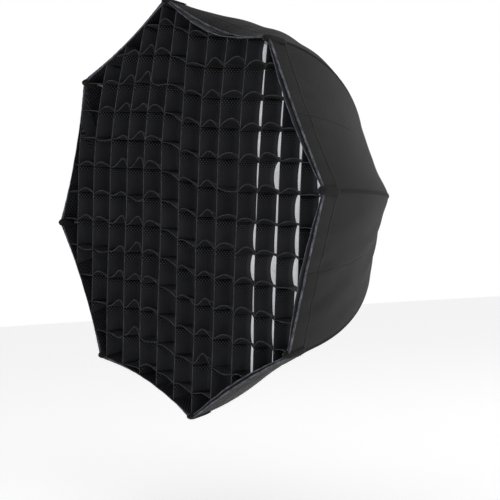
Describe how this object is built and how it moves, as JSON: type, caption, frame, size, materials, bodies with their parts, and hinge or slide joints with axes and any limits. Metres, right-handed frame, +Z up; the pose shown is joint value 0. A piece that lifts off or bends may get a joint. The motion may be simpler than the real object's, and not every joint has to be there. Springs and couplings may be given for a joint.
{
  "type": "octabox",
  "caption": "Folding octagonal umbrella softbox: bowed ribs on a hub, black fabric shell, white front diffuser, inner baffle and a deep fabric egg-crate grid.",
  "frame": {"origin": "centre of the rear bore that takes the flash head", "axes": "+Y along the optical axis towards the flash head, the open front faces -Y, +Z up with one corner of the octagon at the top"},
  "size_m": [0.602, 0.3609, 0.602],
  "materials": {
    "black_metal": "fine black powder coat",
    "pin_steel": "bright turned steel",
    "tube_aluminium": "satin anodised",
    "spring_steel": "dark spring steel",
    "runner_plastic": "fine moulded grain",
    "button_plastic": "semi-gloss moulded",
    "rib_steel": "drawn steel rod",
    "strut_steel": "stamped steel",
    "cap_plastic": "moulded black",
    "shell_cloth": "black coated nylon with a soft sheen, silver inside",
    "binding_tape": "ribbed black binding tape",
    "hook_tape": "black hook-and-loop tape",
    "grid_cloth": "black open-mesh ribbon",
    "white_cloth": "white translucent cloth",
    "elastic": "white woven elastic"
  },
  "bodies": {
    "mount": {"mount_ring": "black_metal", "bayonet_lugs": "black_metal", "back_plate": "black_metal", "ring_screws": "pin_steel", "hub_ring": "black_metal", "hub_pins": "pin_steel", "guide_tube": "tube_aluminium", "stop_ring": "spring_steel", "rear_collar": "shell_cloth"},
    "runner": {"runner": "runner_plastic", "runner_pins": "pin_steel"},
    "button_left": {"release_button_left": "button_plastic"},
    "button_right": {"release_button_right": "button_plastic"},
    "rib_1": {"rib_1": "rib_steel", "rib_cap_1": "cap_plastic"},
    "strut_1": {"strut_1": "strut_steel"},
    "gore_1_left": {"gore_1_left": "shell_cloth"},
    "gore_1_right": {"gore_1_right": "shell_cloth"},
    "rib_2": {"rib_2": "rib_steel", "rib_cap_2": "cap_plastic"},
    "strut_2": {"strut_2": "strut_steel"},
    "gore_2_left": {"gore_2_left": "shell_cloth"},
    "gore_2_right": {"gore_2_right": "shell_cloth"},
    "rib_3": {"rib_3": "rib_steel", "rib_cap_3": "cap_plastic"},
    "strut_3": {"strut_3": "strut_steel"},
    "gore_3_left": {"gore_3_left": "shell_cloth"},
    "gore_3_right": {"gore_3_right": "shell_cloth"},
    "rib_4": {"rib_4": "rib_steel", "rib_cap_4": "cap_plastic"},
    "strut_4": {"strut_4": "strut_steel"},
    "gore_4_left": {"gore_4_left": "shell_cloth"},
    "gore_4_right": {"gore_4_right": "shell_cloth"},
    "rib_5": {"rib_5": "rib_steel", "rib_cap_5": "cap_plastic"},
    "strut_5": {"strut_5": "strut_steel"},
    "gore_5_left": {"gore_5_left": "shell_cloth"},
    "gore_5_right": {"gore_5_right": "shell_cloth"},
    "rib_6": {"rib_6": "rib_steel", "rib_cap_6": "cap_plastic"},
    "strut_6": {"strut_6": "strut_steel"},
    "gore_6_left": {"gore_6_left": "shell_cloth"},
    "gore_6_right": {"gore_6_right": "shell_cloth"},
    "rib_7": {"rib_7": "rib_steel", "rib_cap_7": "cap_plastic"},
    "strut_7": {"strut_7": "strut_steel"},
    "gore_7_left": {"gore_7_left": "shell_cloth"},
    "gore_7_right": {"gore_7_right": "shell_cloth"},
    "rib_8": {"rib_8": "rib_steel", "rib_cap_8": "cap_plastic"},
    "strut_8": {"strut_8": "strut_steel"},
    "gore_8_left": {"gore_8_left": "shell_cloth"},
    "gore_8_right": {"gore_8_right": "shell_cloth"},
    "baffle": {"inner_baffle": "white_cloth", "baffle_straps": "elastic"},
    "diffuser": {"outer_diffuser": "white_cloth", "diffuser_hem": "hook_tape"},
    "grid": {"grid": "grid_cloth", "grid_border": "binding_tape"}
  },
  "joints": [
    {"name": "fold", "type": "slide", "parent": "mount", "child": "runner", "axis": [0, -1, 0], "range_m": [0, 0.01812], "deforming": ["gore_1_left", "gore_1_right", "gore_2_left", "gore_2_right", "gore_3_left", "gore_3_right", "gore_4_left", "gore_4_right", "gore_5_left", "gore_5_right", "gore_6_left", "gore_6_right", "gore_7_left", "gore_7_right", "gore_8_left", "gore_8_right", "inner_baffle", "baffle_straps", "outer_diffuser", "diffuser_hem", "grid", "grid_border"]},
    {"name": "rib_1_hinge", "type": "hinge", "parent": "mount", "child": "rib_1", "pos_m": [0.07, -0.023, 0], "axis": [0, 0, -1], "range_deg": [0, 33.05]},
    {"name": "strut_1_hinge", "type": "hinge", "parent": "rib_1", "child": "strut_1", "pos_m": [0.09274, -0.04511, 0], "axis": [0, 0, -1], "range_deg": [-58.16, 0]},
    {"name": "gore_1_left_pleat", "type": "hinge", "parent": "rib_1", "child": "gore_1_left", "pos_m": [0.07, -0.023, 0], "axis": [-0.2713, -0.0804, 0.9591], "range_deg": [0, 20.15]},
    {"name": "gore_1_right_pleat", "type": "hinge", "parent": "rib_1", "child": "gore_1_right", "pos_m": [0.07, -0.023, 0], "axis": [0.2713, 0.0804, 0.9591], "range_deg": [0, 20.15]},
    {"name": "rib_2_hinge", "type": "hinge", "parent": "mount", "child": "rib_2", "pos_m": [0.0495, -0.023, 0.0495], "axis": [0.7071, 0, -0.7071], "range_deg": [0, 33.05]},
    {"name": "strut_2_hinge", "type": "hinge", "parent": "rib_2", "child": "strut_2", "pos_m": [0.06558, -0.04511, 0.06558], "axis": [0.7071, 0, -0.7071], "range_deg": [-58.16, 0]},
    {"name": "gore_2_left_pleat", "type": "hinge", "parent": "rib_2", "child": "gore_2_left", "pos_m": [0.0495, -0.023, 0.0495], "axis": [-0.8701, -0.0804, 0.4863], "range_deg": [0, 20.15]},
    {"name": "gore_2_right_pleat", "type": "hinge", "parent": "rib_2", "child": "gore_2_right", "pos_m": [0.0495, -0.023, 0.0495], "axis": [-0.4863, 0.0804, 0.8701], "range_deg": [0, 20.15]},
    {"name": "rib_3_hinge", "type": "hinge", "parent": "mount", "child": "rib_3", "pos_m": [0, -0.023, 0.07], "axis": [1, 0, 0], "range_deg": [0, 33.05]},
    {"name": "strut_3_hinge", "type": "hinge", "parent": "rib_3", "child": "strut_3", "pos_m": [0, -0.04511, 0.09274], "axis": [1, 0, 0], "range_deg": [-58.16, 0]},
    {"name": "gore_3_left_pleat", "type": "hinge", "parent": "rib_3", "child": "gore_3_left", "pos_m": [0, -0.023, 0.07], "axis": [-0.9591, -0.0804, -0.2713], "range_deg": [0, 20.15]},
    {"name": "gore_3_right_pleat", "type": "hinge", "parent": "rib_3", "child": "gore_3_right", "pos_m": [0, -0.023, 0.07], "axis": [-0.9591, 0.0804, 0.2713], "range_deg": [0, 20.15]},
    {"name": "rib_4_hinge", "type": "hinge", "parent": "mount", "child": "rib_4", "pos_m": [-0.0495, -0.023, 0.0495], "axis": [0.7071, 0, 0.7071], "range_deg": [0, 33.05]},
    {"name": "strut_4_hinge", "type": "hinge", "parent": "rib_4", "child": "strut_4", "pos_m": [-0.06558, -0.04511, 0.06558], "axis": [0.7071, 0, 0.7071], "range_deg": [-58.16, 0]},
    {"name": "gore_4_left_pleat", "type": "hinge", "parent": "rib_4", "child": "gore_4_left", "pos_m": [-0.0495, -0.023, 0.0495], "axis": [-0.4863, -0.0804, -0.8701], "range_deg": [0, 20.15]},
    {"name": "gore_4_right_pleat", "type": "hinge", "parent": "rib_4", "child": "gore_4_right", "pos_m": [-0.0495, -0.023, 0.0495], "axis": [-0.8701, 0.0804, -0.4863], "range_deg": [0, 20.15]},
    {"name": "rib_5_hinge", "type": "hinge", "parent": "mount", "child": "rib_5", "pos_m": [-0.07, -0.023, 0], "axis": [0, 0, 1], "range_deg": [0, 33.05]},
    {"name": "strut_5_hinge", "type": "hinge", "parent": "rib_5", "child": "strut_5", "pos_m": [-0.09274, -0.04511, 0], "axis": [0, 0, 1], "range_deg": [-58.16, 0]},
    {"name": "gore_5_left_pleat", "type": "hinge", "parent": "rib_5", "child": "gore_5_left", "pos_m": [-0.07, -0.023, 0], "axis": [0.2713, -0.0804, -0.9591], "range_deg": [0, 20.15]},
    {"name": "gore_5_right_pleat", "type": "hinge", "parent": "rib_5", "child": "gore_5_right", "pos_m": [-0.07, -0.023, 0], "axis": [-0.2713, 0.0804, -0.9591], "range_deg": [0, 20.15]},
    {"name": "rib_6_hinge", "type": "hinge", "parent": "mount", "child": "rib_6", "pos_m": [-0.0495, -0.023, -0.0495], "axis": [-0.7071, 0, 0.7071], "range_deg": [0, 33.05]},
    {"name": "strut_6_hinge", "type": "hinge", "parent": "rib_6", "child": "strut_6", "pos_m": [-0.06558, -0.04511, -0.06558], "axis": [-0.7071, 0, 0.7071], "range_deg": [-58.16, 0]},
    {"name": "gore_6_left_pleat", "type": "hinge", "parent": "rib_6", "child": "gore_6_left", "pos_m": [-0.0495, -0.023, -0.0495], "axis": [0.8701, -0.0804, -0.4863], "range_deg": [0, 20.15]},
    {"name": "gore_6_right_pleat", "type": "hinge", "parent": "rib_6", "child": "gore_6_right", "pos_m": [-0.0495, -0.023, -0.0495], "axis": [0.4863, 0.0804, -0.8701], "range_deg": [0, 20.15]},
    {"name": "rib_7_hinge", "type": "hinge", "parent": "mount", "child": "rib_7", "pos_m": [0, -0.023, -0.07], "axis": [-1, 0, 0], "range_deg": [0, 33.05]},
    {"name": "strut_7_hinge", "type": "hinge", "parent": "rib_7", "child": "strut_7", "pos_m": [0, -0.04511, -0.09274], "axis": [-1, 0, 0], "range_deg": [-58.16, 0]},
    {"name": "gore_7_left_pleat", "type": "hinge", "parent": "rib_7", "child": "gore_7_left", "pos_m": [0, -0.023, -0.07], "axis": [0.9591, -0.0804, 0.2713], "range_deg": [0, 20.15]},
    {"name": "gore_7_right_pleat", "type": "hinge", "parent": "rib_7", "child": "gore_7_right", "pos_m": [0, -0.023, -0.07], "axis": [0.9591, 0.0804, -0.2713], "range_deg": [0, 20.15]},
    {"name": "rib_8_hinge", "type": "hinge", "parent": "mount", "child": "rib_8", "pos_m": [0.0495, -0.023, -0.0495], "axis": [-0.7071, 0, -0.7071], "range_deg": [0, 33.05]},
    {"name": "strut_8_hinge", "type": "hinge", "parent": "rib_8", "child": "strut_8", "pos_m": [0.06558, -0.04511, -0.06558], "axis": [-0.7071, 0, -0.7071], "range_deg": [-58.16, 0]},
    {"name": "gore_8_left_pleat", "type": "hinge", "parent": "rib_8", "child": "gore_8_left", "pos_m": [0.0495, -0.023, -0.0495], "axis": [0.4863, -0.0804, 0.8701], "range_deg": [0, 20.15]},
    {"name": "gore_8_right_pleat", "type": "hinge", "parent": "rib_8", "child": "gore_8_right", "pos_m": [0.0495, -0.023, -0.0495], "axis": [0.8701, 0.0804, 0.4863], "range_deg": [0, 20.15]},
    {"name": "baffle_off", "type": "slide", "parent": "mount", "child": "baffle", "axis": [0, -1, 0], "range_m": [0, 0.2]},
    {"name": "diffuser_off", "type": "slide", "parent": "baffle", "child": "diffuser", "axis": [0, -1, 0], "range_m": [0, 0.12]},
    {"name": "grid_off", "type": "slide", "parent": "diffuser", "child": "grid", "axis": [0, -1, 0], "range_m": [0, 0.15]},
    {"name": "button_left_press", "type": "slide", "parent": "runner", "child": "button_left", "axis": [0.9239, 0, 0.3827], "range_m": [0, 0.0018], "stiffness_N_per_m": 400},
    {"name": "button_right_press", "type": "slide", "parent": "runner", "child": "button_right", "axis": [-0.9239, 0, -0.3827], "range_m": [0, 0.0018], "stiffness_N_per_m": 400}
  ],
  "couplings": [
    {"joint": "rib_1_hinge", "follows": "fold", "rad_per_m": 31.786},
    {"joint": "strut_1_hinge", "follows": "fold", "rad_per_m": -55.968},
    {"joint": "gore_1_left_pleat", "follows": "fold", "rad_per_m": 19.357},
    {"joint": "gore_1_right_pleat", "follows": "fold", "rad_per_m": 19.357},
    {"joint": "rib_2_hinge", "follows": "fold", "rad_per_m": 31.786},
    {"joint": "strut_2_hinge", "follows": "fold", "rad_per_m": -55.968},
    {"joint": "gore_2_left_pleat", "follows": "fold", "rad_per_m": 19.357},
    {"joint": "gore_2_right_pleat", "follows": "fold", "rad_per_m": 19.357},
    {"joint": "rib_3_hinge", "follows": "fold", "rad_per_m": 31.786},
    {"joint": "strut_3_hinge", "follows": "fold", "rad_per_m": -55.968},
    {"joint": "gore_3_left_pleat", "follows": "fold", "rad_per_m": 19.357},
    {"joint": "gore_3_right_pleat", "follows": "fold", "rad_per_m": 19.357},
    {"joint": "rib_4_hinge", "follows": "fold", "rad_per_m": 31.786},
    {"joint": "strut_4_hinge", "follows": "fold", "rad_per_m": -55.968},
    {"joint": "gore_4_left_pleat", "follows": "fold", "rad_per_m": 19.357},
    {"joint": "gore_4_right_pleat", "follows": "fold", "rad_per_m": 19.357},
    {"joint": "rib_5_hinge", "follows": "fold", "rad_per_m": 31.786},
    {"joint": "strut_5_hinge", "follows": "fold", "rad_per_m": -55.968},
    {"joint": "gore_5_left_pleat", "follows": "fold", "rad_per_m": 19.357},
    {"joint": "gore_5_right_pleat", "follows": "fold", "rad_per_m": 19.357},
    {"joint": "rib_6_hinge", "follows": "fold", "rad_per_m": 31.786},
    {"joint": "strut_6_hinge", "follows": "fold", "rad_per_m": -55.968},
    {"joint": "gore_6_left_pleat", "follows": "fold", "rad_per_m": 19.357},
    {"joint": "gore_6_right_pleat", "follows": "fold", "rad_per_m": 19.357},
    {"joint": "rib_7_hinge", "follows": "fold", "rad_per_m": 31.786},
    {"joint": "strut_7_hinge", "follows": "fold", "rad_per_m": -55.968},
    {"joint": "gore_7_left_pleat", "follows": "fold", "rad_per_m": 19.357},
    {"joint": "gore_7_right_pleat", "follows": "fold", "rad_per_m": 19.357},
    {"joint": "rib_8_hinge", "follows": "fold", "rad_per_m": 31.786},
    {"joint": "strut_8_hinge", "follows": "fold", "rad_per_m": -55.968},
    {"joint": "gore_8_left_pleat", "follows": "fold", "rad_per_m": 19.357},
    {"joint": "gore_8_right_pleat", "follows": "fold", "rad_per_m": 19.357}
  ]
}
